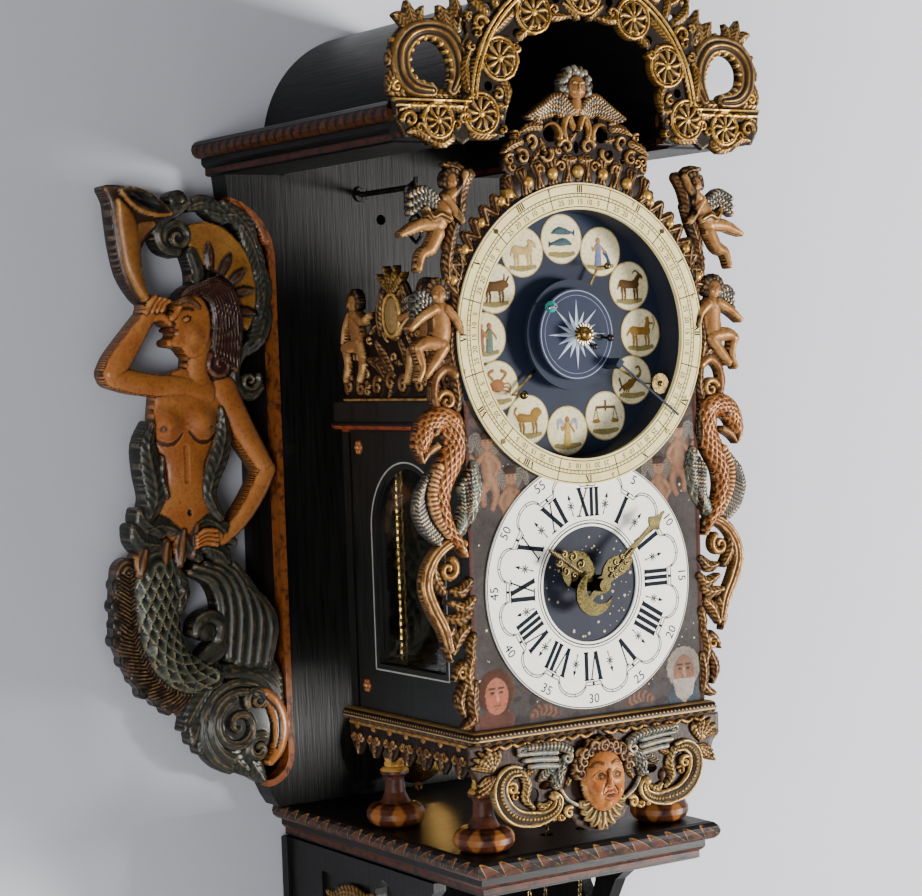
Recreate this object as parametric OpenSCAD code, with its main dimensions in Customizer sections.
// Astronomical wall clock: an orrery clock with weights and a short pendulum, standing on the shelf
// of its carved wall stool. Millimetres. X runs to the right as seen from the front, -Y faces the
// room, Y = 0 is the wall and Z = 0 is the top of the stool's shelf.

/* [Stool] */
// Distance between the two painted beads of the back board
board_w = 194; // [180:1:206]
// Thickness of the back board
board_t = 22; // [16:1:26]
// Width of the thin strip outside each bead, which carries the carved figure
wing_w = 20; // [14:1:24]
// Thickness of that strip
wing_t = 12; // [8:1:14]
// Width of the painted bead
bead_w = 5; // [3:0.5:7]
// Thickness of the carved mermaid boards
figure_t = 14; // [10:1:20]
// Height of the canopy's underside above the shelf
canopy_z = 473; // [460:1:500]
// Overall width of the canopy
canopy_w = 297; // [280:1:310]
// Depth of the canopy from the wall
canopy_d = 286; // [280:1:292]
// Thickness of the canopy with its cornice
canopy_t = 26; // [22:1:30]
// Outer radius of the barrel roof
roof_r = 88; // [80:1:92]
// Thickness of the barrel roof
roof_t = 5; // [3:0.5:8]
// Thickness of the gilt fret on the canopy's front
fret_t = 5; // [3:0.5:7]
// Inner radius of the fret's arch
fret_r = 56; // [50:1:60]
// Overall width of the shelf
shelf_w = 206; // [200:1:212]
// Depth of the shelf from the wall
shelf_d = 284; // [278:1:300]
// Thickness of the shelf with its mouldings
shelf_t = 27; // [24:1:32]
// Height of the consoles under the shelf
console_h = 168; // [140:1:200]
// Distance between the outer faces of the consoles
console_w = 188; // [180:1:192]
// Thickness of a console
console_t = 10; // [8:1:14]

/* [Case] */
// Width of the dial plate
plate_w = 194; // [190:1:198]
// Distance from the wall to the front of the dial plate
plate_y = 277; // [270:1:280]
// Thickness of the dial plate
plate_t = 2; // [1:0.5:3]
// Distance from the wall to the back of the case
case_back_y = 116; // [110:1:120]
// Height of the turned feet
foot_h = 77; // [70:1:80]
// Radius of a foot's flat bulb
foot_r = 21; // [16:0.5:22]
// Thickness of the case floor
floor_t = 9; // [8:1:12]
// Height of the underside of the case top
top_z = 285; // [280:1:288]
// Thickness of the case top
top_t = 19; // [14:1:22]
// Thickness of a side door
door_t = 8; // [6:0.5:9]
// Radius of the arched window in a side door
window_r = 43; // [36:1:46]
// Thickness of the window glass
glass_t = 1.6; // [1:0.1:2]
// Thickness of the cast lead ornaments
cast_t = 6; // [4:0.5:8]

/* [Dials] */
// Height of the clock dial's centre
dial_z = 176.3; // [175:0.1:178]
// Outer radius of the chapter ring
chapter_r = 85; // [80:0.5:88]
// Radius of the painted star field inside the chapter ring
star_field_r = 39.4; // [36:0.1:42]
// Height of the orrery's centre
orrery_z = 345.7; // [344:0.1:348]
// Outer radius of the calendar ring
calendar_r = 101.6; // [98:0.1:104]
// Radius of the orrery's opening
opening_r = 84; // [82:0.5:85]
// Depth of the zodiac disc behind the front of the dial plate
zodiac_depth = 20; // [18:0.5:22]
// Radius of the stepped disc that carries the earth
earth_disc_r = 37.5; // [36:0.1:38]
// Radius of the disc with the painted star
star_disc_r = 31; // [28:0.5:32]

/* [Movement] */
// Teeth of the two great wheels
great_teeth = 48; // [44:1:50]
// Teeth of the centre wheel
centre_teeth = 80; // [78:1:82]
// Teeth of the third wheel
third_teeth = 74; // [72:1:76]
// Teeth of the escape wheel
escape_teeth = 42; // [38:4:46]
// Leaves of every pinion in the trains
pinion_leaves = 8; // [8:1:9]
// Radius of the escape wheel
escape_r = 15; // [13:0.5:16]
// Height of the pendulum's pivot above the shelf
pivot_z = 252; // [251:0.5:253]
// Length of the pendulum from pivot to the middle of the bob
pendulum_l = 213.4; // [200:0.1:215]
// Radius of the pendulum bob
bob_r = 31; // [24:0.5:32]
// Running clearance of a shaft in its hole
running = 0.05; // [0.02:0.01:0.09]
// Clearance between pieces that move past each other
clear = 0.3; // [0.3:0.05:0.5]

/* [Hidden] */
$fn = 48;

// Plan and height of the main parts
board_h = board_w/2;
strip_x = board_h + wing_w;
canopy_top = canopy_z + canopy_t;
roof_z = canopy_top - 5;
case_x = plate_w/2 - 1;
floor_z = foot_h;
floor_top = floor_z + floor_t;
plate_z = floor_top;
floor_x = case_x + 7;
top_top = top_z + top_t;
plate_back = -(plate_y - plate_t);
zodiac_y = -(plate_y - zodiac_depth);
foot_x = case_x - 21;
foot_front_y = -(plate_y - 27);
foot_back_y = -(case_back_y + 20);
door_axis_x = case_x - door_t/2;
door_axis_y = -(case_back_y + 13);
door_front_y = -(plate_y - 11);
door_mid_y = (door_axis_y + door_front_y - door_t/2)/2;
window_z = 215;
window_base_z = 120;
post_w = 12;

// Movement plates and bars
bed_z = 119;
bed_t = 2.2;
roof_plate_z = 261.8;
front_plate_z = 256;
front_bar_y = -259;
middle_bar_y = -204;
rear_bar_y = -140;
split_y = middle_bar_y - 1;
bar_t = 2;
pillar_x = 72;
pillar_front_y = -212;
pillar_rear_y = -150;

// Gear sizes
great_m = 1;
great_arbor_r = 1.1;
train_m = 0.65;
great_c = (great_teeth + pinion_leaves)/2*great_m;
great_z = dial_z - great_c;
centre_c = (centre_teeth + pinion_leaves)/2*train_m;
third_c = (third_teeth + pinion_leaves)/2*train_m;
escape_z = pivot_z - escape_r*sqrt(2);
lift = escape_z - dial_z;
third_up = (lift*lift + centre_c*centre_c - third_c*third_c)/(2*lift);
third_x = sqrt(centre_c*centre_c - third_up*third_up);
third_z = dial_z + third_up;
cannon_teeth = 12;
motion_teeth = 36;
motion_leaves = 10;
hour_teeth = 40;
cannon_m = 0.75;
hour_m = cannon_m*(cannon_teeth + motion_teeth)/(motion_leaves + hour_teeth);
motion_c = (cannon_teeth + motion_teeth)/2*cannon_m;
pin_teeth = 56;
fly_c = (pin_teeth + pinion_leaves)/2*train_m;
fly_z = dial_z + fly_c;

// Chains, weight and counterweight
chain_x = 15;
sprocket_r = 14;
chain_r = 1.2;
going_y = -255.8;
strike_y = -147.2;
pulley_y = -201;
weight_z = -230;
weight_pulley_r = 11;
weight_r = 21;
ring_z = -260;
ring_pulley_r = 8;

// Bell and hammer
bell_y = -165;
bell_r = 34;
bell_z = 312;
hammer_x = -43;
hammer_z = 271;

function unit(v) = v/norm(v);
function at(c, r, a) = [c[0] + r*cos(a), c[1] + r*sin(a)];
function arc(c, r, a0, a1, n) = [for (i = [0:n]) at(c, r, a0 + (a1 - a0)*i/n)];
function flip(p) = [for (i = [len(p) - 1:-1:0]) [-p[i][0], p[i][1]]];
function both(p) = concat(p, [for (q = flip(p)) if (q[0] != 0) q]);
function blend(a, b, c, d, t) =
    0.5*(2*b + (c - a)*t + (2*a - 5*b + 4*c - d)*t*t + (3*b - a - 3*c + d)*t*t*t);
// Smooth closed curve through the points, and the same for an open line
function loop(p, n = 2) = let (m = len(p))
    [for (i = [0:m - 1]) for (k = [0:n - 1])
        blend(p[(i + m - 1) % m], p[i], p[(i + 1) % m], p[(i + 2) % m], k/n)];
function line(p, n = 3) = let (m = len(p) - 1)
    concat([for (i = [0:m - 1]) for (k = [0:n - 1])
        blend(p[max(i - 1, 0)], p[i], p[i + 1], p[min(i + 2, m)], k/n)], [p[m]]);
// A band along a line whose points are [x, z, half width]
function across(q, i) = let (u = unit(q[min(i + 1, len(q) - 1)] - q[max(i - 1, 0)])) [-u[1], u[0]];
function band(s) = let (q = [for (v = s) [v[0], v[1]]])
    concat([for (i = [0:len(q) - 1]) q[i] + across(q, i)*s[i][2]],
        [for (i = [len(q) - 1:-1:0]) q[i] - across(q, i)*s[i][2]]);
// Line of a volute that winds inwards from radius r0 to r1
function volute(c, r0, r1, a0, sweep, w0, w1, n = 14) = [for (i = [0:n]) let (t = i/n)
    concat(at(c, r0 + (r1 - r0)*t, a0 + sweep*t), [w0 + (w1 - w0)*t])];
// Gear outline with involute flanks
function roll(r, rb) = r <= rb ? 0 : tan(acos(rb/r))*180/PI - acos(rb/r);
function flank(n, m, r, share) = let (rp = n*m/2, rb = rp*cos(22))
    90/n*share + roll(rp, rb) - roll(max(r, rb), rb);
function gear(n, m, add = 0.9, ded = 1.2, share = 0.84, turned = 0) =
    let (rp = n*m/2, rb = rp*cos(22), rr = rp - ded*m,
        rs = concat([rr], rr < rb - 0.05 ? [rb] : [], [rp, rp + add*m/2, rp + add*m]))
    [for (i = [0:n - 1]) for (s = [-1, 1]) for (k = [0:len(rs) - 1])
        let (r = s < 0 ? rs[k] : rs[len(rs) - 1 - k])
        at([0, 0], r, turned + 360*i/n + s*flank(n, m, r, share))];

// Extrusions: a front view outline made solid along Y, and a side view outline made solid along X
module front(y, t) { translate([0, y, 0]) rotate([90, 0, 0]) linear_extrude(t) children(); }
module side(x, t) { translate([x, 0, 0]) rotate([90, 0, 90]) linear_extrude(t) children(); }
// Round bar along Y from y0 forwards, and a ball
module rod(x, z, y0, l, r) { translate([x, y0, z]) rotate([90, 0, 0]) cylinder(h = l, r = r); }
module disc_at(x, z, r) { translate([x, z]) circle(r); }
module mirrored() { children(); mirror([1, 0, 0]) children(); }

// Cornice edge: how far each height lies inside the widest line
function edge(t) = concat([[6, 0]], [for (a = [60:-30:-60]) [6.5 - 6.5*cos(a), -6.5 + 6.5*sin(a)]],
    [[6, -13], [8, -13], [8, -t + 9], [9.5, -t + 7], [11, -t + 6], [11, -t + 1], [13, -t]]);
function section(half, top, t) = [for (e = edge(t)) [half - e[0], top + e[1]]];
module moulded_board(half, depth, top, t, back = 0) {
    intersection() {
        front(0, depth + 1) polygon(both(section(half, top, t)));
        side(-half - 1, 2*half + 2)
            polygon(concat([for (e = edge(t)) [-depth + e[0], top + e[1]]], [[back, top - t], [back, top]]));
    }
}

// Straight chain strand between two points in a plane of constant X, thick enough for r
module strand(x, y0, z0, y1, z1, r) {
    tilt = atan2(y1 - y0, z0 - z1);
    translate([x, y0, z0]) rotate([180 + tilt, 0, 0])
        cylinder(h = norm([y1 - y0, z0 - z1]), r = r);
}
module drive_strands(r) {
    strand(chain_x, going_y, great_z, pulley_y - weight_pulley_r, weight_z, r);
    strand(chain_x, strike_y, great_z, pulley_y + weight_pulley_r, weight_z, r);
}
module slack_strands(r) {
    strand(-chain_x, going_y, great_z, pulley_y - ring_pulley_r, ring_z, r);
    strand(-chain_x, strike_y, great_z, pulley_y + ring_pulley_r, ring_z, r);
}
module chain_holes() {
    drive_strands(5);
    slack_strands(5);
}

// Stool: the back board flares out at the top and at the foot, and its beads follow that edge
bead_line = concat(arc([board_h + 21, 40], 21, 270, 180, 6), arc([board_h + 45, 410], 45, 180, 105, 8));
neck = roof_r - roof_t - 0.2;
function board_outline() = both(concat([[0, -shelf_t - console_h],
    [console_w/2 - console_t, -shelf_t - console_h], [console_w/2 - console_t, 0], [board_h + 11, 0],
    [board_h + 16, 8]], bead_line, [[board_h + 36, canopy_z], [neck, canopy_z], [neck, roof_z]],
    arc([0, roof_z], neck, 8, 82, 9), [[0, roof_z + neck]]));
module back_board() {
    hook_r = 4;
    color([0.09, 0.08, 0.07]) difference() {
        union() {
            front(0, board_t) polygon(board_outline());
            mirrored() front(0, wing_t) translate([board_h, 19]) square([wing_w, 436]);
            mirrored() front(-wing_t + 1, board_t - wing_t + 3)
                polygon(band([for (p = bead_line) [p[0], p[1], bead_w/2]]));
        }
        rod(0, 440, 1, board_t + 2, hook_r);
    }
}

module canopy() {
    color([0.1, 0.09, 0.08]) difference() {
        union() {
            moulded_board(canopy_w/2, canopy_d - 8, canopy_top, canopy_t);
            mirrored() front(-canopy_d + 16, 16) polygon([[roof_r - 2, canopy_z + 1],
                [canopy_w/2 - 8, canopy_z + 1], [canopy_w/2 - 4, canopy_top], [roof_r - 2, canopy_top]]);
            front(-canopy_d + 8, 8) difference() {
                polygon(concat([[roof_r + 2, canopy_z + 1]], arc([0, roof_z], roof_r + 2, 0, 180, 24),
                    [[-roof_r - 2, canopy_z + 1]]));
                polygon(concat([[68, canopy_z]], arc([0, roof_z], 68, 0, 180, 24), [[-68, canopy_z]]));
            }
        }
        translate([-roof_r, -canopy_d + 8, canopy_z - 1]) cube([2*roof_r, canopy_d - 7, canopy_t + 2]);
    }
}

module barrel_roof() {
    color([0.1, 0.1, 0.1]) front(0, canopy_d - 8) difference() {
        union() {
            disc_at(0, roof_z, roof_r);
            translate([-roof_r, canopy_z + 6]) square([2*roof_r, roof_z - canopy_z - 6]);
        }
        disc_at(0, roof_z, roof_r - roof_t);
        translate([-roof_r + roof_t, canopy_z]) square([2*roof_r - 2*roof_t, roof_z - canopy_z]);
        translate([-roof_r - 1, 0]) square([2*roof_r + 2, canopy_z + 6]);
    }
}

// Gilt fret: a base band at each side, an arch with rosettes and scrolls outside the arch
fret_half = [[150, 499], [149, 484], [143, 474], [133, 476], [125, 469], [115, 468], [106, 474],
    [99, 470], [90, 476], [78, 473], [66, 476], [65, 488], [62, 500], [67, 512], [59, 522], [57, 534],
    [47, 541], [41, 551], [31, 552], [22, 558], [12, 554], [0, 557]];
fret_outer = [[0, 634], [8, 628], [18, 622], [26, 626], [38, 618], [46, 610], [58, 613], [70, 602],
    [76, 592], [88, 588], [93, 575], [87, 564], [95, 553], [93, 542], [98, 534], [88, 526], [92, 512],
    [92, 499]];
rosettes = [[118, 484, 13], [84, 488, 16], [68, 527, 16], [40, 556, 16]];
// The fret follows the canopy: its ends move with the canopy's width and its arch with fret_r
spread = canopy_w/2 - 148.5;
rise = canopy_top - 499;
function fitted(p) = [for (q = p) [q[0] > 92 ? q[0] + spread : q[0] < 68 && q[1] < 560 ? q[0]*fret_r/56 : q[0],
    q[1] + rise]];
module rosette(x, z, r) {
    front(-canopy_d - fret_t + 1, 3) difference() {
        disc_at(x, z, r);
        disc_at(x, z, r - 3);
    }
    front(-canopy_d - fret_t + 1, 4) disc_at(x, z, 3);
    for (a = [0:45:315])
        front(-canopy_d - fret_t + 1, 2.4) polygon(band([for (d = [4, 7, 10])
            concat(at([x, z], d*r/14, a), [0.7 + d/8])]));
}
module fret_scrolls() {
    for (v = [[84, 577, 10, 200, -400], [58, 598, 10, 240, -400], [28, 608, 11, 250, -400],
            [86, 546, 8, 160, -380], [139 + spread, 485, 8, 0, 400]])
        front(-canopy_d - fret_t + 1, 2.6)
            polygon(band(volute([v[0], v[1]], v[2], 2, v[3], v[4], 1.8, 0.9)));
}
module fret_crest() {
    color([0.66, 0.5, 0.22]) {
        difference() {
            front(-canopy_d, fret_t) polygon(both(fitted(concat(fret_outer, fret_half))));
            for (h = [[76, 558, 4], [60, 578, 5], [38, 592, 4.5], [14, 596, 4.5], [101, 488, 4],
                    [133, 487, 3.5], [54, 543, 4], [22, 567, 3.5], [78, 508, 3.5]])
                mirrored() rod(h[0] + (h[0] > 92 ? spread : 0), h[1] + rise, -canopy_d + 1, fret_t + 2, h[2]);
        }
        rosette(0, 572 + rise, 15);
        for (p = rosettes)
            mirrored() rosette(p[0] + (p[0] > 92 ? spread : 0), p[1] + rise, p[2]);
        translate([0, 0, rise]) mirrored() fret_scrolls();
        mirrored() front(-canopy_d - fret_t + 1, 2.4) {
            translate([88, canopy_top - 2.5]) square([61 + spread, 2.4]);
            difference() {
                disc_at(0, roof_z, 91.5);
                disc_at(0, roof_z, 89.3);
                translate([-100, canopy_top - 109]) square([200, 107]);
                translate([-100, canopy_top - 109]) square([100, 220]);
            }
        }
    }
}

// Pair of sea dragons bent into rings, standing on the canopy at each side of the arch
module dragon() {
    c = [126, 525];
    body = concat([[108, 504, 4]], [for (a = [215:-30:-55]) concat(at(c, 20, a), [5 + 3*sin(a/2 + 60)])]);
    front(-canopy_d + 3, 6) {
        polygon(band(line(body, 2)));
        polygon([[101, 499], [151, 499], [150, 504], [142, 506], [132, 502], [118, 503],
            [106, 506]]);
        polygon(loop([[99, 546], [104, 541], [112, 543], [121, 541], [122, 548], [113, 551], [108, 563],
            [104, 566], [101, 556]]));
        polygon(loop([[130, 541], [138, 543], [146, 540], [147, 549], [152, 553], [145, 555], [141, 560],
            [136, 552], [128, 549]]));
        polygon(loop([[104, 512], [112, 508], [118, 516], [112, 524], [103, 520]]));
        polygon(loop([[140, 506], [150, 503], [154, 512], [148, 518], [141, 514]]));
    }
}
module crest_dragons() { color([0.55, 0.42, 0.22]) mirrored() translate([spread, 0, rise]) dragon(); }

// Carved mermaid blowing a horn, cut from one board, with raised limbs. Left side of the stool.
mermaid_outline = [[-229, 469], [-212, 471], [-193, 465], [-181, 455], [-172, 462], [-163, 458],
    [-150, 455], [-132, 458], [-118, 450], [-107, 438], [-102, 420], [-101, 402], [-104, 384],
    [-111, 366], [-112, 345], [-111, 318], [-122, 312], [-132, 320], [-127, 306], [-117, 286],
    [-108, 262], [-104, 251], [-108, 242], [-119, 224], [-132, 208], [-140, 200], [-147, 196],
    [-146, 190], [-136, 187], [-128, 176], [-120, 165], [-111, 150], [-105, 134], [-102, 112],
    [-103, 92], [-100.5, 70], [-101, 50], [-106, 34], [-112, 24], [-114, 21], [-120, 20], [-128, 27],
    [-140, 33], [-147, 39],
    [-152, 46], [-163, 49], [-173, 53], [-178, 62], [-184, 66], [-177, 79], [-185, 81], [-197, 85],
    [-204, 93], [-215, 97], [-219, 106], [-227, 117], [-229, 129], [-235, 140], [-231, 150],
    [-235, 160], [-231, 172], [-229, 184], [-221, 195], [-216, 206], [-219, 216], [-211, 224],
    [-205, 230], [-206, 245], [-206, 257], [-202, 270], [-207, 284], [-206, 294], [-199, 301],
    [-190, 304], [-202, 308], [-217, 313], [-234, 319], [-240, 326], [-237, 338], [-228, 351],
    [-215, 366], [-208, 376], [-209, 385], [-216, 397], [-221, 412], [-222, 430], [-224, 446]];
mermaid_gaps = [
    [[-191, 428], [-199, 417], [-204, 404], [-203, 391], [-193, 387], [-184, 377], [-177, 378],
        [-169, 388], [-162, 398], [-163, 408], [-173, 415], [-184, 417]],
    [[-192, 364], [-204, 357], [-212, 345], [-218, 334], [-204, 330], [-185, 327], [-170, 328],
        [-170, 339], [-177, 346], [-187, 350], [-187, 357]],
    [[-139, 281], [-148, 266], [-158, 251], [-161, 240], [-158, 230], [-150, 221], [-143, 220],
        [-133, 232], [-122, 247], [-127, 261]],
    [[-158, 167], [-152, 160], [-150, 149], [-157, 147], [-166, 147], [-173, 142], [-174, 135],
        [-168, 130], [-162, 126], [-170, 124], [-180, 127], [-184, 135], [-181, 146], [-173, 157]]];
mermaid_limbs = [
    [[[-222, 461, 9], [-213, 440, 8], [-212, 415, 7.5], [-210, 398, 6], [-203, 385, 4]], 12],
    [[[-192, 376, 7], [-206, 364, 8], [-222, 343, 8.5], [-229, 329, 8]], 9],
    [[[-229, 327, 7], [-205, 319, 9], [-175, 314, 11], [-150, 314, 10]], 8],
    [[[-143, 311, 8], [-130, 290, 8.5], [-118, 266, 8], [-111, 250, 6]], 8],
    [[[-113, 248, 6], [-126, 232, 7.5], [-140, 214, 6], [-158, 206, 6]], 9],
    [[[-170, 310, 20], [-180, 290, 23], [-182, 268, 17], [-181, 245, 15], [-181, 226, 19], [-186, 208, 22]], 8],
    [[[-195, 200, 24], [-208, 172, 20], [-212, 145, 19], [-204, 120, 18], [-185, 102, 15], [-165, 97, 10]], 8],
    [[[-150, 392, 15], [-153, 370, 19], [-150, 348, 16], [-148, 328, 12]], 10],
    [[[-168, 92, 5], [-172, 75, 10], [-160, 60, 9], [-140, 46, 9], [-122, 34, 6]], 7],
    [[[-118, 88, 6], [-110, 70, 8], [-108, 50, 7], [-116, 33, 4]], 9]];
module mermaid() {
    difference() {
        union() {
            difference() {
                front(-wing_t, figure_t) polygon(loop(mermaid_outline, 2));
                for (g = mermaid_gaps)
                    front(-wing_t + 1, figure_t + 2) polygon(loop(g, 2));
            }
            for (b = mermaid_limbs)
                front(-wing_t - figure_t + 1, b[1]) polygon(band(line(b[0], 3)));
            front(-wing_t - figure_t + 1, 8)
                polygon(band(volute([-139, 66], 24, 4, 120, 460, 6, 3, 18)));
        }
        front(-wing_t + 1, 60) {
            polygon(board_outline());
            mirror([1, 0]) polygon(band([for (p = bead_line) [p[0], p[1], bead_w/2 + 0.1]]));
        }
    }
}
module mermaid_left() { color([0.62, 0.4, 0.2]) mermaid(); }
module mermaid_right() { color([0.62, 0.4, 0.2]) mirror([1, 0, 0]) mermaid(); }

module shelf() {
    inner = console_w/2 - console_t;
    color([0.1, 0.09, 0.08]) difference() {
        moulded_board(shelf_w/2, shelf_d, 0, shelf_t);
        translate([-inner, -board_t, -shelf_t - 1]) cube([2*inner, board_t + 1, shelf_t + 2]);
        chain_holes();
    }
}

// Side console: a bracket with a sunk field, a gilt scroll and a pierced slot near its front
console_edge = [[0, -27], [-214, -27], [-214, -33], [-200, -44], [-183, -56], [-172, -74], [-160, -92],
    [-138, -108], [-112, -120], [-88, -140], [-66, -165], [-40, -182], [-14, -190], [0, -190]];
function drop(p) = [p[0], p[1] < -shelf_t ? -shelf_t + (p[1] + 27)*console_h/163 : -shelf_t];
module console() {
    outer = console_w/2;
    difference() {
        side(outer - console_t, console_t) polygon([for (p = console_edge) drop(p)]);
        side(outer - 3, 4) polygon([for (p = [[-58, -44], [-128, -44], [-128, -90], [-108, -104],
            [-84, -122], [-66, -140], [-58, -140]]) drop(p)]);
        side(outer - console_t - 1, console_t + 2)
            polygon(loop([for (p = [[-146, -36], [-158, -44], [-158, -60], [-148, -76], [-137, -60],
                [-135, -44]]) drop(p)], 3));
    }
    side(outer, 3) translate([-11, -shelf_t - console_h + 6]) square([9, console_h - 6]);
    side(outer - 3, 4)
        polygon(band(volute([-88, -72], 18, 4, 60, 420, 4, 2, 16)));
    side(outer - 3, 4)
        polygon(band(line([[-118, -52, 3], [-104, -58, 5], [-84, -92, 5], [-68, -126, 3]], 3)));
}
module console_right() { color([0.12, 0.1, 0.08]) console(); }
module console_left() { color([0.12, 0.1, 0.08]) mirror([1, 0, 0]) console(); }

// Iron peg in the back board with two hexagonal wire links on it
peg_x = -17;
peg_z = 459;
peg_end = -104;
link_y = -98;
module keeper_peg() {
    color([0.15, 0.15, 0.16]) {
        rod(peg_x, peg_z, -board_t, -peg_end - board_t, 2.2);
        rod(peg_x, peg_z, -board_t, 2, 6);
        translate([peg_x, peg_end + 2, peg_z]) rotate([0, 0, 0]) cylinder(h = 7, r = 2.2);
    }
}
module hex_link(half_w, half_h, r) {
    corners = [[0, half_h], [half_w, half_h*0.55], [half_w, -half_h*0.55], [0, -half_h],
        [-half_w, -half_h*0.55], [-half_w, half_h*0.55]];
    linear_extrude(2*r) difference() {
        polygon(corners*1.0);
        polygon([for (c = corners) c - unit(c)*2.4*r]);
    }
}
module keeper_links() {
    r = 0.9;
    color([0.15, 0.15, 0.16]) {
        translate([peg_x, link_y, peg_z - 8.75]) rotate([90, 0, 0]) hex_link(9, 14, r);
        translate([peg_x - r, link_y - r, peg_z - 30.3]) rotate([90, 0, 90]) hex_link(8, 12, r);
    }
}

// Iron cock on the back board, with the stud that the pendulum hangs on
pendulum_y = -46;
module pendulum_cock() {
    color([0.25, 0.24, 0.23]) {
        front(-board_t, 2) translate([-9, pivot_z - 12]) square([18, 30]);
        side(-4, 8) polygon([[-board_t - 2, pivot_z - 8], [-board_t - 2, pivot_z + 14],
            [-board_t - 8, pivot_z + 6], [pendulum_y + 6, pivot_z + 4], [pendulum_y + 6, pivot_z - 4],
            [-board_t - 8, pivot_z - 5]]);
        rod(0, pivot_z, pendulum_y + 6, 10, 1.5);
    }
}

// Case: floor with a beaded moulding, four feet, a carcass of posts and top, and a back panel
module case_floor() {
    bead_h = floor_t/2;
    color([0.35, 0.27, 0.14]) difference() {
        union() {
            translate([-floor_x + 4, -plate_y - 4, floor_z])
                cube([2*floor_x - 8, plate_y - case_back_y + 5, floor_t]);
            mirrored() translate([floor_x - 4, -case_back_y + 1, floor_z + bead_h]) rotate([90, 0, 0])
                cylinder(h = plate_y - case_back_y + 5, r = bead_h);
            translate([-floor_x + 4, -plate_y - 4, floor_z + bead_h]) rotate([0, 90, 0])
                cylinder(h = 2*floor_x - 8, r = bead_h);
            mirrored() translate([floor_x - 4, -plate_y - 4, floor_z + bead_h]) sphere(bead_h);
        }
        mirrored() translate([door_axis_x, door_axis_y, floor_top - 6]) cylinder(h = 7, r = 1.5 + running);
        chain_holes();
    }
}

function foot_profile() = concat([[0, 0], [foot_r - 6, 0]],
    [for (a = [-70:28:70]) [foot_r - 8 + 8*cos(a), 8 + 8*sin(a)]],
    [[foot_r - 10, 16.5], [9.5, 19], [7.6, 24], [6.6, 33], [7, 35]],
    [for (a = [-60:40:60]) [7 + 3.4*cos(a), 38.5 + 3.4*sin(a)]],
    [[6.8, 42.5], [7.4, 44], [6.4, 46.5], [8.5, 52], [11.5, 60], [9, 68], [8.5, 70], [12, 72],
    [12, foot_h], [0, foot_h]]);
module feet() {
    color([0.3, 0.15, 0.07]) for (x = [-foot_x, foot_x]) for (y = [foot_front_y, foot_back_y])
        translate([x, y, 0]) rotate_extrude() polygon(foot_profile());
}

module case_frame() {
    depth = plate_y - plate_t - case_back_y;
    color([0.12, 0.11, 0.1]) difference() {
        union() {
            translate([-case_x - 5, plate_back, top_z]) cube([2*case_x + 10, depth + 2, top_t]);
            mirrored() translate([case_x + 5, -case_back_y + 2, top_z + 3]) rotate([90, 0, 0])
                cylinder(h = depth + 2, r = 2.5);
            mirrored() translate([case_x - post_w, plate_back, floor_top])
                cube([post_w, 8.7, top_z - floor_top]);
            mirrored() translate([case_x - post_w, door_axis_y + door_t/2 + clear, floor_top])
                cube([post_w, -case_back_y - door_axis_y - door_t/2 - clear, top_z - floor_top]);
        }
        translate([-81, plate_back - 1, top_z - 1]) cube([162, 50, top_t + 2]);
        translate([hammer_x - 16, bell_y - 4, top_z - 1]) cube([24, 8, top_t + 2]);
        mirrored() translate([door_axis_x, door_axis_y, top_z - 1]) cylinder(h = 7, r = 1.5 + running);
    }
}

module case_back() {
    w = case_x - post_w;
    color([0.12, 0.11, 0.1]) difference() {
        front(-case_back_y, 3) translate([-w, floor_top]) square([2*w, top_z - floor_top]);
        rod(0, pivot_z, -case_back_y + 1, 6, 7);
    }
}

// Side door with an arched window, turning on pins in the case floor and top
module window_shape(grow) {
    translate([door_mid_y, window_z]) circle(window_r + grow);
    translate([door_mid_y - window_r - grow, window_base_z - grow])
        square([2*(window_r + grow), window_z - window_base_z + grow]);
}
module door() {
    z0 = floor_top + 2*clear;
    z1 = top_z - 2*clear;
    difference() {
        union() {
            side(case_x - door_t, door_t) translate([door_front_y, z0])
                square([door_axis_y - door_front_y, z1 - z0]);
            translate([door_axis_x, door_axis_y, z0]) cylinder(h = z1 - z0, r = door_t/2);
            translate([door_axis_x, door_axis_y, floor_top - 5]) cylinder(h = top_z - floor_top + 10, r = 1.5);
        }
        side(case_x - door_t - 1, door_t + 2) window_shape(0);
        side(case_x - door_t - 1, door_t/2 + 1) window_shape(3);
    }
    translate([case_x - door_t - 3, door_front_y + 12, 190]) rotate([0, 90, 0])
        cylinder(h = 3.2, r = 3);
}
module door_right() { color([0.13, 0.13, 0.12]) door(); }
module door_left() { color([0.13, 0.13, 0.12]) mirror([1, 0, 0]) door(); }
module pane() { side(case_x - door_t/2 - glass_t, glass_t) window_shape(2.9); }
module glass_right() { color([0.7, 0.8, 0.8, 0.4]) pane(); }
module glass_left() { color([0.7, 0.8, 0.8, 0.4]) mirror([1, 0, 0]) pane(); }

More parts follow.
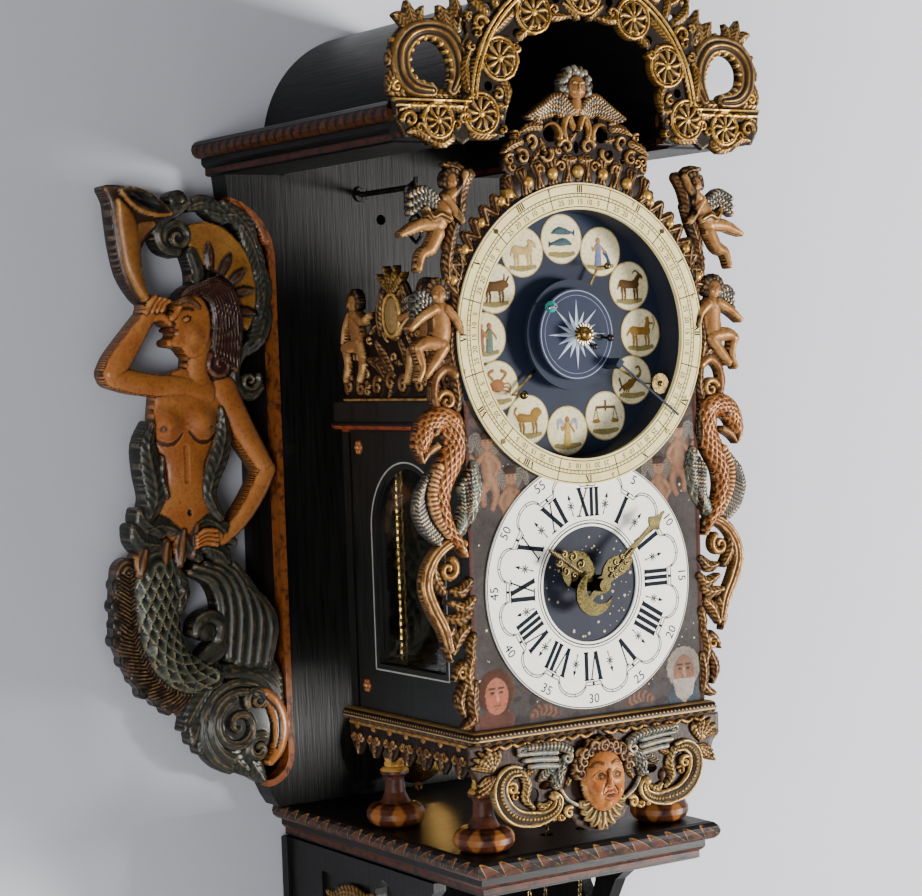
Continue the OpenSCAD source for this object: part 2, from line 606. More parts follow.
// Dial plate, with the orrery's opening and the hole for the hands
module dial_plate() {
    color([0.28, 0.27, 0.3]) difference() {
        union() {
            front(plate_back, plate_t) translate([-plate_w/2, plate_z])
                square([plate_w, orrery_z - 34 - plate_z]);
            rod(0, orrery_z, plate_back, plate_t, calendar_r + 1.5);
        }
        rod(0, orrery_z, plate_back + 1, plate_t + 2, opening_r);
        rod(0, dial_z, plate_back + 1, plate_t + 2, 5);
    }
}
module chapter_ring() {
    color([0.93, 0.92, 0.88]) difference() {
        rod(0, dial_z, -plate_y, 1.5, chapter_r);
        rod(0, dial_z, -plate_y + 1, 4, star_field_r);
    }
}
ring_gap = 0.1;
module calendar_ring() {
    back = -plate_y - 1.5 - ring_gap;
    color([0.86, 0.79, 0.55]) {
        difference() {
            rod(0, orrery_z, back, 1.6, calendar_r);
            rod(0, orrery_z, back + 1, 4, opening_r);
        }
        difference() {
            rod(0, orrery_z, -plate_y, 1.5 + ring_gap, calendar_r - 1);
            rod(0, orrery_z, -plate_y + 1, 4, opening_r);
            rod(0, dial_z, -plate_y + 1, 4, chapter_r + 0.5);
        }
        for (a = [14, 62, 104, 152, 193, 236, 283, 332])
            rod((opening_r + 14.5)*cos(a), orrery_z + (opening_r + 14.5)*sin(a), back - 1.6, 0.9, 1.5);
    }
}

// Cast ornament of one side: flying figure, seated figure, scroll, winged sea creature and foliage
ornament_outline = [[plate_w/2, 87], [104, 88], [106, 96], [116, 104], [116, 116], [119, 124],
    [114, 132], [120, 135], [123, 146], [124, 153], [132, 164], [138, 178], [139, 192], [133, 204],
    [126, 209], [134, 216], [142, 230], [145, 245], [142, 256], [134, 259], [137, 267], [140, 272],
    [141, 284], [136, 292], [128, 298], [128, 310], [132, 316], [140, 320], [136, 328], [142, 342],
    [134, 347], [146, 356], [142, 362], [138, 372], [134, 381], [130, 386], [131, 391], [137, 393], [138, 402], [146, 414], [148, 418], [142, 422], [136, 428],
    [140, 434], [136, 440], [124, 446], [116, 450], [110, 455], [102, 453], [94, 460], [86, 470],
    [82, 464], [90, 448], [94, 440], [98, 428], [101, 408], [105, 396], [108, 366], [107, 330]];
ornament_gaps = [
    [[102, 160], [110, 160], [113, 165], [109, 172], [103, 170]],
    [[106, 182], [120, 183], [128, 186], [122, 193], [110, 190]],
    [[107, 205], [120, 200], [112, 196], [106, 199]],
    [[102, 276], [106, 266], [105, 288], [103, 292]],
    [[107, 312], [114, 309], [118, 306], [112, 303], [107, 305]],
    [[110, 335], [118, 333], [126, 330], [130, 326], [120, 322], [111, 324]],
    [[118, 398], [126, 401], [131, 405], [124, 408], [116, 405]]];
ornament_relief = [
    [[[100, 444, 6], [108, 428, 9], [114, 414, 8], [130, 400, 5]], 5],
    [[[116, 416, 5], [130, 418, 5], [144, 417, 3]], 4],
    [[[108, 448, 4], [108, 444, 7], [108, 439, 5]], 7],
    [[[118, 372, 9], [120, 356, 9], [124, 342, 7], [134, 334, 4], [132, 322, 3]], 5],
    [[[104, 364, 3], [118, 362, 5], [134, 358, 5], [142, 354, 3]], 4],
    [[[118, 381, 7], [119, 374, 9], [119, 367, 5]], 7],
    [[[136, 274, 4], [132, 284, 8], [118, 280, 9], [112, 262, 9], [118, 240, 11], [116, 218, 7],
        [106, 208, 3]], 6],
    [[[104, 254, 5], [108, 240, 9], [106, 222, 5]], 4],
    [[[108, 150, 3], [124, 158, 5], [134, 178, 5], [134, 194, 4], [124, 204, 3]], 3]];
module ornament() {
    difference() {
        front(-plate_y + cast_t - 2, cast_t - 2) polygon(loop(ornament_outline, 2));
        for (g = ornament_gaps)
            front(-plate_y + cast_t, cast_t + 2) polygon(loop(g, 2));
        front(-plate_y + cast_t + 2, cast_t + 6) union() {
            translate([0, 80]) square([plate_w/2 + 0.05, 232]);
            translate([90, 60]) square([60, floor_top - 60]);
            disc_at(0, orrery_z, calendar_r + 2);
        }
    }
    for (b = ornament_relief)
        front(-plate_y + 1, b[1]) polygon(band(line(b[0], 3)));
    for (v = [[116, 298, 10, 90, -420], [120, 193, 10, 60, 400], [110, 165, 8, 250, 330],
            [110, 126, 8, 40, 380]])
        front(-plate_y + 1, 3.5) polygon(band(volute([v[0], v[1]], v[2], 2, v[3], v[4], 2.2, 1.2, 12)));
}
module ornament_right() { color([0.45, 0.34, 0.2]) ornament(); }
module ornament_left() { color([0.45, 0.34, 0.2]) mirror([1, 0, 0]) ornament(); }

// Crest of the dial: pleated ribbon round the arch, open scrollwork and a winged bust
crest_half = [[0, 527], [6, 526], [9, 520], [9, 512], [6, 506], [4, 503], [10, 506], [18, 510],
    [26, 506], [33, 496], [40, 488], [34, 485], [44, 482], [52, 476], [57, 468], [56, 460], [52, 454]];
module dial_crest() {
    inner = calendar_r + 2.05;
    outer = 114;
    a0 = 62;
    color([0.42, 0.32, 0.2]) {
        difference() {
            front(-plate_y + cast_t - 2, cast_t - 2) polygon(both(concat([[0, 440]], [[60, 440]],
                [for (i = [len(crest_half) - 1:-1:0]) crest_half[i]])));
            rod(0, orrery_z, -plate_y + cast_t, cast_t + 4, inner);
            for (h = [[22, 484, 7], [17, 473, 4], [40, 467, 4], [18, 492, 4.5], [0, 482, 4], [28, 470, 3]])
                mirrored() rod(h[0], h[1], -plate_y + cast_t, cast_t + 4, h[2]);
        }
        intersection() {
            front(-plate_y + cast_t - 2, cast_t - 2) difference() {
                disc_at(0, orrery_z, outer);
                disc_at(0, orrery_z, inner);
            }
            front(0, 400) polygon(concat([[0, orrery_z]], arc([0, orrery_z], 150, 180 - a0, a0, 8)));
        }
        for (a = [a0 + 2:8:180 - a0])
            front(-plate_y + 1, 2.4) polygon(band([concat(at([0, orrery_z], inner + 1.5, a - 2.6), [1.2]),
                concat(at([0, orrery_z], outer - 1.5, a + 1.2), [1.2])]));
        translate([0, -plate_y - 1.5, 515]) sphere(8.2);
        mirrored() front(-plate_y + 1, 3)
            polygon(band(line([[6, 500, 5], [18, 504, 6], [28, 497, 5], [38, 488, 2.5]], 3)));
        front(-plate_y + 1, 4.5) polygon(loop([[-8, 506], [8, 506], [10, 496], [5, 486], [-5, 486], [-10, 496]]));
        rod(0, 455, -plate_y + 1, 4, 3.4);
    }
}

// Aprons under the case: a cherub between wings and sea serpents in front, pleated drops at the sides
apron_half = [[0, 78], [104, 78], [106, 70], [103, 66], [95, 62], [92, 58], [92, 50], [86, 48],
    [82, 40], [80, 32], [70, 24], [58, 20], [46, 20], [38, 24], [30, 20], [22, 21], [18, 14], [12, 10],
    [6, 9], [0, 10]];
module apron_front() {
    y = -plate_y - 2;
    color([0.5, 0.4, 0.24]) {
        difference() {
            front(y, cast_t - 1) polygon(both([for (i = [0:len(apron_half) - 1]) [apron_half[i][0],
                min(apron_half[i][1], floor_z)]]));
            for (h = [[66, 44, 6], [56, 34, 4], [46, 42, 4], [30, 33, 3.5]])
                mirrored() rod(h[0], h[1], y + 1, cast_t + 2, h[2]);
        }
        front(y - cast_t + 2, 4) polygon(loop([[-17, 62], [0, 68], [17, 62], [19, 44], [14, 28], [0, 21],
            [-14, 28], [-19, 44]], 3));
        translate([0, y - cast_t + 1, 43]) scale(1) sphere(12);
        mirrored() front(y - cast_t + 2, 3)
            polygon(band(line([[26, 62, 5], [44, 64, 7], [66, 68, 4], [76, 72, 2]], 3)));
        mirrored() front(y - cast_t + 2, 3)
            polygon(band(line([[22, 22, 2], [40, 22, 4], [58, 24, 5], [74, 32, 5], [80, 44, 4], [72, 52, 3],
                [62, 48, 2]], 3)));
        for (a = [200:20:340])
            front(y - cast_t + 2, 3) polygon(band([concat(at([0, 30], 10, a), [1.6]),
                concat(at([0, 30], 19, a), [2.4])]));
    }
}
module apron_sides() {
    y0 = -plate_y + 5;
    y1 = -case_back_y - 2;
    lobes = 7;
    pitch = (y1 - y0)/lobes;
    color([0.4, 0.33, 0.22]) mirrored() side(floor_x - 6, 4) union() {
        translate([y0, floor_z - 13]) square([y1 - y0, 13]);
        for (i = [0:lobes - 1]) {
            translate([y0 + pitch*(i + 0.5), floor_z - 13]) circle(pitch/2 - 0.2);
            translate([y0 + pitch*(i + 0.5), floor_z - 22]) circle(3);
        }
    }
}

// Cast galleries on the case top: two seated figures beside a cartouche
gallery_half = [[0, 402], [8, 398], [14, 404], [22, 398], [26, 388], [34, 382], [40, 388], [50, 386],
    [56, 380], [65, 386], [71, 378], [68, 368], [73, 360], [70, 346], [74, 330], [71, 316], [71, 304]];
module galleries() {
    base = top_top;
    color([0.42, 0.34, 0.22]) mirrored() {
        difference() {
            side(case_x - 1, cast_t - 1) translate([door_mid_y, 0]) polygon(both(concat([[0, base]],
                [for (i = [len(gallery_half) - 1:-1:0]) [gallery_half[i][0],
                    max(gallery_half[i][1], base)]])));
            for (h = [[14, 384, 5], [22, 340, 5], [36, 368, 5], [58, 368, 3.5], [50, 322, 6], [12, 322, 4]])
                for (s = [-1, 1])
                    translate([case_x - 2, door_mid_y + s*h[0], h[1]]) rotate([0, 90, 0])
                        cylinder(h = cast_t + 2, r = h[2]);
        }
        for (s = [-1, 1])
            side(case_x + cast_t - 3, 5) translate([door_mid_y, 0])
                polygon(band(line([[s*62, 376, 6], [s*62, 360, 8], [s*60, 342, 8], [s*68, 326, 5],
                    [s*66, 312, 4]], 3)));
        side(case_x + cast_t - 3, 4) translate([door_mid_y, 0])
            polygon(loop([[0, 396], [14, 386], [16, 362], [8, 340], [0, 332], [-8, 340], [-16, 362],
                [-14, 386]], 2));
    }
}

// Orrery: a closed drum behind the plate holds the nested arbors of the planets
tube_t = 0.55;
tube_step = tube_t + running;
rod_r = 0.9;
function tube_in(i) = rod_r + running + i*tube_step;
works_y = -247;
module drum() {
    color([0.16, 0.17, 0.2]) difference() {
        rod(0, orrery_z, -227, -plate_back - 227, opening_r + 3);
        rod(0, orrery_z, zodiac_y + 2, 40, opening_r);
        rod(0, orrery_z, works_y + 2, 20, tube_in(7));
        rod(0, orrery_z, works_y + 10, 20, tube_in(2) + tube_t);
        rod(0, orrery_z, works_y + 14, 20, rod_r);
    }
}
module zodiac_disc() {
    color([0.36, 0.4, 0.5]) difference() {
        rod(0, orrery_z, zodiac_y + 2, 2, opening_r - 0.1);
        rod(0, orrery_z, zodiac_y + 3, 4, tube_in(7));
    }
}
module sleeve(i, y0, y1) {
    difference() {
        rod(0, orrery_z, y0, y0 - y1, tube_in(i) + tube_t);
        rod(0, orrery_z, y0 + 1, y0 - y1 + 2, tube_in(i));
    }
}
module star_disc() {
    color([0.45, 0.48, 0.58]) {
        sleeve(2, works_y + 10, -271);
        difference() {
            rod(0, orrery_z, -269, 3, star_disc_r);
            rod(0, orrery_z, -268, 5, tube_in(2));
        }
    }
}
module sun() {
    color([0.85, 0.65, 0.25]) {
        rod(0, orrery_z, works_y + 14, 282 + works_y + 14, rod_r);
        translate([0, -281.5, orrery_z]) sphere(5);
        front(-279.4, 1.2) translate([0, orrery_z]) polygon([for (i = [0:35])
            at([0, 0], i % 2 == 0 ? 8 : 6.8, i*10)]);
    }
}
// Planet: sleeve, flat arm, post and ball; angle a is measured from the right, anticlockwise
module planet(i, arm_y, reach, a, ball_y, ball_r, arm_w = 1.6) {
    arm_t = 0.9;
    front_y = arm_y - arm_t;
    difference() {
        union() {
            rod(0, orrery_z, works_y, works_y - front_y, tube_in(i) + tube_t);
            rod(0, orrery_z, arm_y, arm_t, tube_in(i) + tube_t + 0.8);
            translate([0, 0, orrery_z]) rotate([0, -a, 0])
                translate([0, front_y, -arm_w/2]) cube([reach, arm_t, arm_w]);
        }
        rod(0, orrery_z, works_y + 1, works_y - front_y + 2, tube_in(i));
    }
    translate([0, 0, orrery_z]) rotate([0, -a, 0]) {
        translate([reach, arm_y, 0]) rotate([90, 0, 0]) cylinder(h = arm_y - ball_y, r = 0.6);
        translate([reach, ball_y, 0]) sphere(ball_r);
    }
}
mercury_a = -41;
venus_a = -7;
earth_a = 143;
mars_a = 60;
jupiter_a = 220;
saturn_a = -28.4;
earth_reach = 31.5;
earth_y = -278;
module mercury() { color([0.12, 0.12, 0.12]) planet(0, -275.1, 13, mercury_a, -278.7, 2.1, 1.5); }
module venus() { color([0.5, 0.4, 0.3]) planet(1, -273.3, 24.5, venus_a, -277, 2.6, 1.5); }
module mars() { color([0.55, 0.3, 0.15]) planet(4, -262, 53, mars_a, -273, 2.4); }
module jupiter() { color([0.6, 0.4, 0.25]) planet(5, -260.1, 61, jupiter_a, -274, 3); }
module saturn() {
    color([0.75, 0.6, 0.3]) {
        planet(6, -258.2, 75, saturn_a, -277, 2.2);
        translate([0, 0, orrery_z]) rotate([0, -saturn_a, 0]) {
            difference() {
                rod(75, 0, -276.6, 0.8, 7);
                rod(75, 0, -276, 3, 1.8);
            }
        }
    }
}
// The earth rides on a disc that also carries the date pointer on its far side
module earth() {
    color([0.2, 0.6, 0.62]) {
        sleeve(3, works_y, -265);
        difference() {
            rod(0, orrery_z, -264, 3, earth_disc_r);
            rod(0, orrery_z, -263, 5, tube_in(3));
        }
        translate([0, 0, orrery_z]) rotate([0, -earth_a, 0]) {
            rod(35.2, 0, -266, -earth_y - 266, 0.7);
            translate([earth_reach, earth_y - 0.7, -0.6]) cube([35.2 - earth_reach, 1.4, 1.2]);
            translate([earth_reach, earth_y, 0]) rotate([90, 0, 0]) sphere(3.7);
            rod(earth_reach, 0, earth_y - 3, 3, 0.5);
            translate([-36.5, -283.4, -3]) cube([4.5, 17.4, 6]);
            translate([-96, -283.4, -0.7]) cube([61, 0.8, 1.4]);
        }
    }
}
moon_reach = 5.8;
moon_a = 190;
module moon() {
    color([0.75, 0.76, 0.8]) translate([0, 0, orrery_z]) rotate([0, -earth_a, 0])
        translate([earth_reach, 0, 0]) rotate([0, earth_a - moon_a, 0]) {
            difference() {
                union() {
                    rod(0, 0, earth_y - 4.6, 1, 1.5);
                    translate([0, earth_y - 5.6, -0.4]) cube([moon_reach, 1, 0.8]);
                }
                rod(0, 0, earth_y - 4, 3, 0.5 + clear);
            }
            translate([moon_reach, earth_y - 5.1, 0]) sphere(1.4);
        }
}

// Movement: beds, bars, four bead-turned pillars and the lugs of the hammer
beads = 14;
bead_p = (roof_plate_z - bed_z - bed_t)/beads;
pillar_r = 4;
pillar_profile = concat([[0, floor_top], [pillar_r, floor_top], [pillar_r, bed_z + bed_t]],
    [for (i = [0:beads - 1]) for (k = [0:3]) [3 + 1.5*sin(45*k + 22), bed_z + bed_t + bead_p*(i + k/4 + 0.1)]],
    [[pillar_r, roof_plate_z], [pillar_r, roof_plate_z + bed_t], [0, roof_plate_z + bed_t]]);
module bar(y, w, top = roof_plate_z) {
    front(y, bar_t) translate([-w/2, bed_z]) square([w, top + bed_t - bed_z]);
}
module bar_slot(y, w) {
    front(y + running, bar_t + 2*running)
        translate([-w/2 - running, bed_z - 1]) square([w + 2*running, roof_plate_z + bed_t + 2 - bed_z]);
}
module bores(x, z, r) { rod(x, z, -130, 140, r + running); }
module arbor_bores() {
    bores(0, dial_z, 1.2);
    bores(0, great_z, great_arbor_r);
    bores(third_x, third_z, 1);
    bores(0, escape_z, 1);
    bores(0, pivot_z, 1);
    bores(0, fly_z, 1);
}
module movement_frame() {
    bar_w = 24;
    color([0.7, 0.55, 0.25]) {
        difference() {
            union() {
                for (z = [bed_z, roof_plate_z])
                    translate([-80, pillar_front_y - 10, z])
                        cube([160, rear_bar_y + 3 - pillar_front_y + 10, bed_t]);
                for (z = [bed_z, front_plate_z])
                    translate([-bar_w, front_bar_y - bar_t - 3, z])
                        cube([2*bar_w, middle_bar_y - front_bar_y + bar_t + 2, bed_t]);
                front(-219, bar_t) translate([-8, pivot_z - 4]) square([16, roof_plate_z - pivot_z + 4]);
                for (y = [-145, -183])
                    front(y, bar_t) translate([hammer_x - 5, roof_plate_z + bed_t])
                        square([10, hammer_z - roof_plate_z + 2]);
            }
            arbor_bores();
            rod(hammer_x, hammer_z, -140, 50, 1.5 + running);
            chain_holes();
            for (y = [front_bar_y, middle_bar_y, rear_bar_y])
                bar_slot(y, bar_w);
            for (x = [-pillar_x, pillar_x]) for (y = [pillar_front_y, pillar_rear_y])
                translate([x, y, bed_z - 1]) cylinder(h = roof_plate_z - bed_z + 5, r = pillar_r + running);
        }
        difference() {
            union() {
                bar(front_bar_y, bar_w, front_plate_z);
                bar(middle_bar_y, bar_w);
                bar(rear_bar_y, bar_w);
            }
            arbor_bores();
        }
        for (x = [-pillar_x, pillar_x]) for (y = [pillar_front_y, pillar_rear_y])
            translate([x, y, 0]) rotate_extrude($fn = 24) polygon(pillar_profile);
        rod(motion_c, dial_z, front_bar_y - bar_t, 12, 0.8);
        front(front_bar_y, bar_t) translate([11, dial_z - 4]) square([motion_c - 8, 8]);
    }
}

// Wheel with crossings: rim, arms and hub cut from one gear outline
module wheel(n, m, y, t, arms = 4, turned = 0) {
    r = n*m/2;
    rim = r - 1.2*m - 2.2;
    translate([0, y, 0]) rotate([90, 0, 0]) linear_extrude(t) difference() {
        polygon(gear(n, m, turned = turned));
        difference() {
            circle(rim);
            circle(5);
            for (k = [0:arms - 1])
                rotate(k*360/arms + turned) translate([0, -1.1]) square([rim + 1, 2.2]);
        }
    }
}
module pinion(n, m, y, t, turned = 0) {
    translate([0, y, 0]) rotate([90, 0, 0]) linear_extrude(t) polygon(gear(n, m, 0.8, 1.3, 0.7, turned));
}
module sprocket(y) {
    rod(0, 0, y, 0.7, sprocket_r + 0.5);
    rod(0, 0, y - 0.7, 3.6, sprocket_r - 2);
    rod(0, 0, y - 4.3, 0.7, sprocket_r + 0.5);
    for (a = [15:30:345])
        rotate([0, a, 0]) translate([sprocket_r - 3, y - 2.5 - 0.7, -0.8]) cube([2.5, 1.4, 1.6]);
}
// Wheels in mesh: the pinion above a wheel shows a gap where the wheel shows a tooth
function mesh_turn(n, dir, driver_n, driver_turn) =
    dir + 180 + 180/n + (dir - driver_turn)*driver_n/n;
module great_wheel() {
    color([0.75, 0.6, 0.28]) translate([0, 0, great_z]) {
        rod(0, 0, split_y - 0.2, 56.3, great_arbor_r);
        wheel(great_teeth, great_m, -250, 2, 4, 90);
        sprocket(-253);
    }
}
module centre_wheel() {
    turned = mesh_turn(pinion_leaves, 90, great_teeth, 90);
    color([0.75, 0.6, 0.28]) translate([0, 0, dial_z]) {
        rod(0, 0, split_y - 0.2, 64.8, 1.2);
        pinion(pinion_leaves, great_m, -249, 4, turned);
        wheel(centre_teeth, train_m, -238.5, 1.5, 4, 0);
    }
}
third_dir = atan2(third_up, third_x);
module third_wheel() {
    color([0.75, 0.6, 0.28]) translate([third_x, 0, third_z]) {
        rod(0, 0, split_y + 1, 57.5, 1);
        pinion(pinion_leaves, train_m, -237.5, 3.5, mesh_turn(pinion_leaves, third_dir, centre_teeth, 0));
        wheel(third_teeth, train_m, -228.5, 1.5, 4, 0);
    }
}
escape_dir = atan2(escape_z - third_z, -third_x);
module escape_wheel() {
    root = escape_r - 2.6;
    color([0.75, 0.6, 0.28]) translate([0, 0, escape_z]) {
        rod(0, 0, split_y + 1, 57.5, 1);
        pinion(pinion_leaves, train_m, -227.5, 3.5, mesh_turn(pinion_leaves, escape_dir, third_teeth, 0));
        translate([0, -212.5, 0]) rotate([90, 0, 0]) linear_extrude(1.5) difference() {
            polygon([for (i = [0:escape_teeth - 1]) for (k = [[0.1, root], [0.18, escape_r],
                [0.28, escape_r], [0.45, root + 0.6], [0.9, root]])
                at([0, 0], k[1], 90 + (i - 0.5 + k[0])*360/escape_teeth)]);
            difference() {
                circle(root - 2);
                circle(3.5);
                for (k = [0:3])
                    rotate(k*90) translate([0, -0.8]) square([root, 1.6]);
            }
        }
    }
}
// Anchor, its arbor and the crutch that reaches back to the pendulum rod
crutch_y = -108;
crutch_l = 46;
module anchor() {
    reach = escape_r + 1.1;
    color([0.5, 0.48, 0.42]) {
        rod(0, pivot_z, crutch_y, 221 + crutch_y, 1);
        front(-211, 5) {
            disc_at(0, pivot_z, 3.4);
            for (s = [-1, 1])
                polygon([[s*1, pivot_z - 3.2], [s*1, pivot_z + 2.6], [s*8, pivot_z + 0.5],
                    [s*15, pivot_z - 6.5], [s*(reach*sin(45) + 0.5), escape_z + reach*cos(45) + 0.3],
                    [s*(reach*sin(45)), escape_z + reach*cos(45) + 0.8], [s*11.5, pivot_z - 7.2],
                    [s*7, pivot_z - 3]]);
        }
        front(crutch_y, 2) translate([-2, pivot_z - crutch_l]) square([4, crutch_l + 3]);
        rod(0, pivot_z - crutch_l + 2, pendulum_y - 4, pendulum_y - 4 - crutch_y, 0.9);
        translate([0, pendulum_y, pivot_z - crutch_l + 1]) difference() {
            translate([-3.5, -4.5, 0]) cube([7, 7, 2]);
            translate([-1.6, -2, -1]) cube([3.2, 8, 4]);
        }
    }
}
module pendulum() {
    bob_z = pivot_z - pendulum_l;
    color([0.72, 0.56, 0.26]) {
        difference() {
            union() {
                rod(0, pivot_z, pendulum_y + 1.5, 3, 4);
                translate([0, pendulum_y, bob_z - bob_r - 6]) cylinder(h = pendulum_l + bob_r + 4, r = 1.2);
            }
            rod(0, pivot_z, pendulum_y + 3, 6, 1.5 + running);
        }
        translate([0, pendulum_y - 0.3, bob_z]) rotate([90, 0, 0]) rotate_extrude()
            polygon(concat([[0, -6], [bob_r/2, -5.4]], arc([bob_r - 3, 0], 3, -60, 60, 6),
                [[bob_r/2, 5.4], [0, 6]]));
        translate([0, pendulum_y, bob_z - bob_r - 4]) cylinder(h = 3, r = 3.5);
    }
}

// Hands: outlines are drawn pointing to twelve and turned to their places
hour_a = 304;
minute_a = 50;
hour_y = -286;
minute_y = -290;
module minute_hand() {
    color([0.68, 0.54, 0.26]) {
        difference() {
            union() {
                rod(0, dial_z, -262, -minute_y - 262 + 3, 2);
                translate([0, 0, dial_z]) pinion(cannon_teeth, cannon_m, -262.5, 4, 0);
                rod(0, dial_z, minute_y - 1.5, 4, 4.5);
                translate([0, 0, dial_z]) rotate([0, minute_a, 0]) front(minute_y, 1.5) {
                    circle(6);
                    polygon(band(line([[0, 4, 4], [-2, 14, 7], [2, 24, 6], [0, 32, 2.5], [0, 44, 1.6],
                        [0, 66, 1.2], [0, 72, 0.5]], 3)));
                    polygon(loop([[0, 56], [6, 60], [3, 64], [0, 70], [-3, 64], [-6, 60]]));
                    difference() {
                        disc_at(0, -8, 15);
                        disc_at(0, -1, 12);
                    }
                    translate([-2, -14]) square([4, 12]);
                }
            }
            rod(0, dial_z, -261, 12, 1.2 + running);
        }
    }
}
module hour_hand() {
    color([0.68, 0.54, 0.26]) difference() {
        union() {
            rod(0, dial_z, -268, -hour_y - 268 + 1, 2.8);
            translate([0, 0, dial_z]) wheel(hour_teeth, hour_m, -268, 1.8, 4, 0);
            translate([0, 0, dial_z]) rotate([0, hour_a, 0]) front(hour_y, 1.5) difference() {
                union() {
                    circle(7);
                    polygon(loop([[-4, 5], [-10, 12], [-13, 22], [-9, 30], [-3, 34], [-1.4, 44], [0, 48],
                        [1.4, 44], [3, 34], [9, 30], [13, 22], [10, 12], [4, 5]]));
                }
                disc_at(-5, 20, 3.2);
                disc_at(5, 20, 3.2);
                disc_at(0, 28, 2);
            }
        }
        rod(0, dial_z, -262, 40, 2 + running);
    }
}
module motion_wheel() {
    color([0.75, 0.6, 0.28]) translate([motion_c, 0, dial_z]) difference() {
        union() {
            rod(0, 0, -262, 9, 2);
            wheel(motion_teeth, cannon_m, -263.5, 1.8, 4, mesh_turn(motion_teeth, 0, cannon_teeth, 0));
            pinion(motion_leaves, hour_m, -267, 3.6, mesh_turn(motion_leaves, 0, hour_teeth, 0));
        }
        rod(0, 0, -261, 14, 0.8 + running);
    }
}

// Strike train: great wheel, pin wheel and fly, with a hammer for the bell above the case
module strike_wheel() {
    color([0.75, 0.6, 0.28]) translate([0, 0, great_z]) {
        rod(0, 0, -139, 65.8, great_arbor_r);
        wheel(great_teeth, great_m, -156, 2, 4, 90);
        sprocket(-145);
    }
}
pin_r = pin_teeth*train_m/2 - 2;
module pin_wheel() {
    color([0.75, 0.6, 0.28]) translate([0, 0, dial_z]) {
        rod(0, 0, -139, 65.8, 1.2);
        pinion(pinion_leaves, great_m, -155, 4, mesh_turn(pinion_leaves, 90, great_teeth, 90));
        wheel(pin_teeth, train_m, -168.5, 1.5, 4, 0);
        for (a = [0:45:315])
            rod(pin_r*cos(a), pin_r*sin(a), -169, 5, 0.8);
    }
}
module fly() {
    color([0.7, 0.58, 0.3]) translate([0, 0, fly_z]) {
        rod(0, 0, -139, 66.5, 1);
        pinion(pinion_leaves, train_m, -167.5, 3.5, mesh_turn(pinion_leaves, 90, pin_teeth, 0));
        rotate([0, 30, 0]) translate([-15, -194, -0.4]) cube([30, 14, 0.8]);
        rod(0, 0, -179, 16, 2);
    }
}
module hammer() {
    head_z = bell_z + 5;
    color([0.3, 0.28, 0.26]) {
        rod(hammer_x, hammer_z, -144, 42, 1.5);
        translate([hammer_x - 1.2, bell_y - 1.5, hammer_z]) cube([2.4, 3, head_z - hammer_z]);
        translate([hammer_x - 5, bell_y, head_z]) rotate([0, 90, 0]) cylinder(h = 12.5, r = 4.5);
        rod(hammer_x, hammer_z, bell_y + 3, 6, 3);
    }
}
module bell() {
    t = 2.2;
    post_r = 2.5;
    color([0.7, 0.6, 0.35]) translate([0, bell_y, 0]) {
        rotate_extrude() polygon(concat([[0, bell_z + 34], [post_r, bell_z + 34]],
            [for (a = [80:-14:10]) [3 + (bell_r - 6)*cos(a), bell_z + 6 + 28*sin(a)]], [[bell_r, bell_z]],
            [[bell_r - t, bell_z]],
            [for (a = [10:14:80]) [3 + (bell_r - 6 - t)*cos(a), bell_z + 6 + (28 - t)*sin(a)]],
            [[post_r, bell_z + 34 - t], [0, bell_z + 34 - t]]));
        translate([0, 0, top_top]) cylinder(h = bell_z + 40 - top_top, r = post_r);
        translate([0, 0, top_top]) cylinder(h = 3, r = 7);
        translate([0, 0, bell_z + 36]) cylinder(h = 4, r = 4.5, $fn = 6);
    }
}

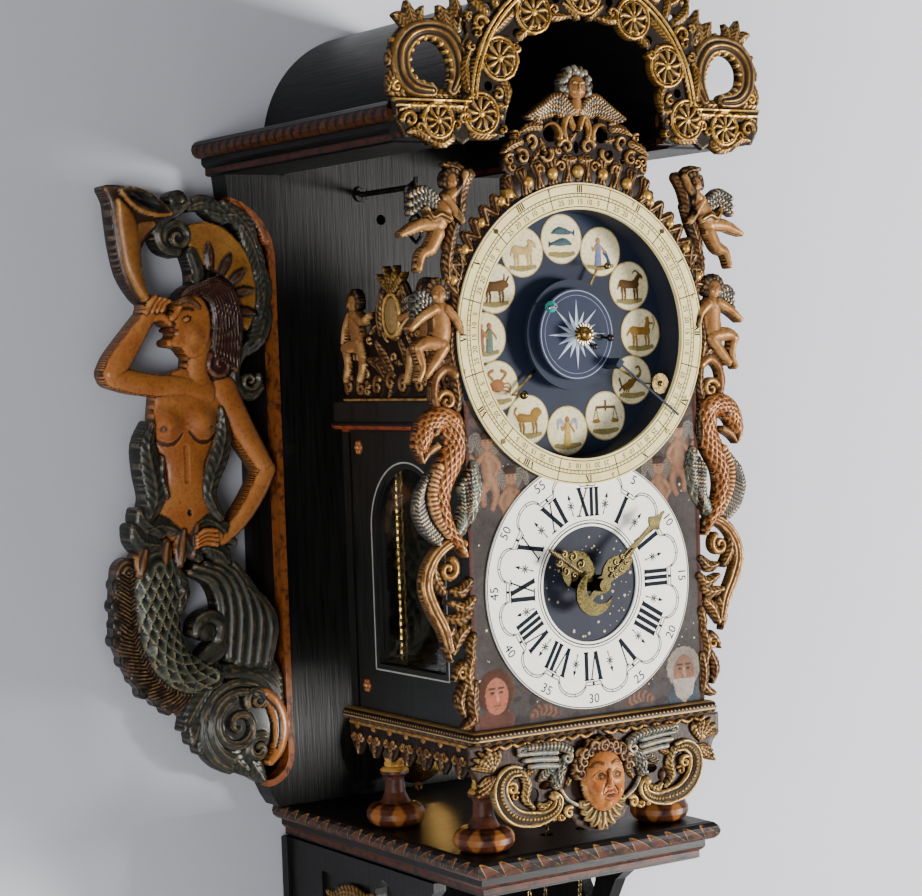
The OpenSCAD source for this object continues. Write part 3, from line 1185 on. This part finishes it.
// Chains, driving weight under its pulley, and the small ring that keeps the chain taut
module chain_drive() { color([0.6, 0.48, 0.24]) drive_strands(chain_r); }
module chain_slack() { color([0.6, 0.48, 0.24]) slack_strands(chain_r); }
module pulley(x, z, r) {
    translate([x, pulley_y, z]) rotate([0, 90, 0]) {
        translate([0, 0, -2.4]) cylinder(h = 4.8, r = r - chain_r - 0.05);
        translate([0, 0, -3.4]) cylinder(h = 1.4, r = r + 1);
        translate([0, 0, 2]) cylinder(h = 1.4, r = r + 1);
        translate([0, 0, -6]) cylinder(h = 12, r = 1.6);
    }
}
module weight() {
    r = weight_r;
    top = weight_z - 34;
    color([0.7, 0.55, 0.25]) {
        pulley(chain_x, weight_z, weight_pulley_r);
        for (s = [-1, 1])
            translate([chain_x + s*5.4 - 1, pulley_y - 4, weight_z - 20]) cube([2, 8, 24]);
        translate([chain_x - 6.4, pulley_y - 4, weight_z - 22]) cube([12.8, 8, 3]);
        translate([chain_x, pulley_y, top - 1]) cylinder(h = 14, r = 2);
        translate([chain_x, pulley_y, top]) rotate_extrude() polygon([[0, 0], [5, 0], [8, -2],
            [r - 4, -5], [r, -9], [r, -88], [r - 4, -93], [8, -97], [4, -102], [0, -103]]);
    }
}
module ring_weight() {
    color([0.5, 0.48, 0.45]) {
        pulley(-chain_x, ring_z, ring_pulley_r);
        for (s = [-1, 1])
            translate([-chain_x + s*5.4 - 1, pulley_y - 3, ring_z - 16]) cube([2, 6, 19]);
        translate([-chain_x - 6.4, pulley_y - 3, ring_z - 18]) cube([12.8, 6, 3]);
        translate([-chain_x, pulley_y, ring_z - 18]) rotate([0, 90, 0]) rotate([0, 0, 0])
            translate([11, 0, 0]) rotate_extrude() translate([9, 0]) circle(3, $fn = 24);
    }
}

back_board();
canopy();
barrel_roof();
fret_crest();
crest_dragons();
mermaid_left();
mermaid_right();
shelf();
console_left();
console_right();
keeper_peg();
keeper_links();
pendulum_cock();
case_floor();
case_frame();
case_back();
feet();
door_left();
door_right();
glass_left();
glass_right();
dial_plate();
calendar_ring();
chapter_ring();
ornament_left();
ornament_right();
dial_crest();
apron_front();
apron_sides();
galleries();
drum();
zodiac_disc();
star_disc();
sun();
mercury();
venus();
earth();
moon();
mars();
jupiter();
saturn();
movement_frame();
great_wheel();
centre_wheel();
third_wheel();
escape_wheel();
anchor();
pendulum();
minute_hand();
hour_hand();
motion_wheel();
strike_wheel();
pin_wheel();
fly();
hammer();
bell();
chain_drive();
chain_slack();
weight();
ring_weight();
